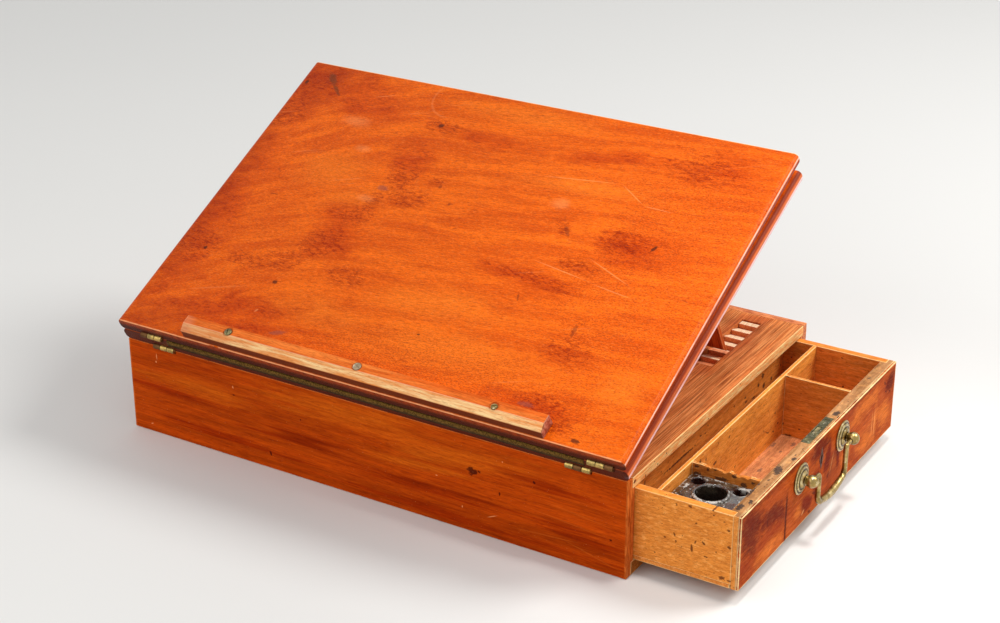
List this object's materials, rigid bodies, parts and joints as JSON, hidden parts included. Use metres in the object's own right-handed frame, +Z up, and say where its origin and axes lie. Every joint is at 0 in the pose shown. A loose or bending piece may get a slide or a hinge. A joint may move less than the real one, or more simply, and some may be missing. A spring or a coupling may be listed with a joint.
{
  "type": "writing desk",
  "caption": "Portable wooden writing box with a propped double writing slope, a book ledge and a side drawer fitted for pens, paper and ink.",
  "frame": {"origin": "centre of the underside of the case", "axes": "+X towards the end the drawer pulls out of, +Y to the back, away from the writer, +Z up"},
  "size_m": [0.4432, 0.2579, 0.1917],
  "materials": {
    "mahogany": "old french polish, worn satin",
    "red_mahogany": "old polish, satin",
    "faded_mahogany": "dry, faded polish",
    "light_wood": "bare, waxed",
    "floor_wood": "bare, dusty",
    "baize": "matt woollen cloth",
    "brass": "aged, satin",
    "dark_brass": "tarnished",
    "dark_horn": "dark inlay",
    "steel": "worn",
    "glass": "polished, dark"
  },
  "bodies": {
    "case": {"case_front": "mahogany", "case_back": "mahogany", "case_left": "mahogany", "case_top": "faded_mahogany", "case_bottom": "light_wood", "ratchet_left": "light_wood", "ratchet_right": "light_wood", "case_hinge_leaf_left": "brass", "case_hinge_leaf_right": "brass"},
    "lower_board": {"lower_board": "red_mahogany", "lower_baize": "baize", "board_hinge_leaf_left": "brass", "board_hinge_leaf_right": "brass", "board_hinge_pin_left": "brass", "board_hinge_pin_right": "brass", "leaf_hinge_lower_left": "brass", "leaf_hinge_lower_right": "brass", "prop_hinge_board_leaf_left": "brass", "prop_hinge_board_leaf_right": "brass"},
    "prop": {"prop_leg_left": "red_mahogany", "prop_leg_right": "red_mahogany", "prop_top_rail": "red_mahogany", "prop_low_rail": "red_mahogany", "prop_hinge_leaf_left": "brass", "prop_hinge_leaf_right": "brass", "prop_hinge_pin_left": "brass", "prop_hinge_pin_right": "brass"},
    "upper_board": {"upper_board": "mahogany", "upper_baize": "baize", "ledge": "faded_mahogany", "ledge_screw_1": "steel", "ledge_screw_2": "steel", "ledge_screw_3": "steel", "leaf_hinge_upper_left": "brass", "leaf_hinge_upper_right": "brass", "leaf_hinge_pin_left": "brass", "leaf_hinge_pin_right": "brass"},
    "drawer": {"drawer_front": "light_wood", "drawer_facing": "red_mahogany", "drawer_side_near": "light_wood", "drawer_side_far": "light_wood", "drawer_back": "light_wood", "drawer_bottom": "floor_wood", "compartment_divider": "light_wood", "pen_tray_divider": "light_wood", "ink_partition": "light_wood", "far_partition": "light_wood", "inkwell": "glass", "lock_case": "dark_brass", "lock_plate": "dark_brass", "escutcheon": "dark_horn", "rosette_near": "brass", "rosette_far": "brass", "handle_post_near": "brass", "handle_post_far": "brass", "handle_nut_near": "dark_brass", "handle_nut_far": "dark_brass"},
    "bail": {"bail": "brass"},
    "lock_bolt": {"lock_bolt": "dark_brass"}
  },
  "joints": [
    {"name": "board_tilt", "type": "hinge", "parent": "case", "child": "lower_board", "pos_m": [0, -0.1241, 0.06395], "axis": [1, 0, 0], "range_deg": [-23.5, 5]},
    {"name": "prop_fold", "type": "hinge", "parent": "lower_board", "child": "prop", "pos_m": [0, 0.01703, 0.13345], "axis": [-1, 0, 0], "range_deg": [-87.5, 18.7]},
    {"name": "leaf_unfold", "type": "hinge", "parent": "lower_board", "child": "upper_board", "pos_m": [0, -0.12799, 0.07212], "axis": [1, 0, 0], "range_deg": [-1, 160]},
    {"name": "drawer_slide", "type": "slide", "parent": "case", "child": "drawer", "axis": [1, 0, 0], "range_m": [-0.0659, 0.16]},
    {"name": "bail_swing", "type": "hinge", "parent": "drawer", "child": "bail", "pos_m": [0.25565, -0.003, 0.0423], "axis": [0, -1, 0], "range_deg": [-11, 150]},
    {"name": "lock_bolt_slide", "type": "slide", "parent": "drawer", "child": "lock_bolt", "axis": [0, 0, 1], "range_m": [0, 0.004]}
  ],
  "couplings": [
    {"joint": "prop_fold", "follows": "board_tilt", "ratio": 3.72}
  ]
}
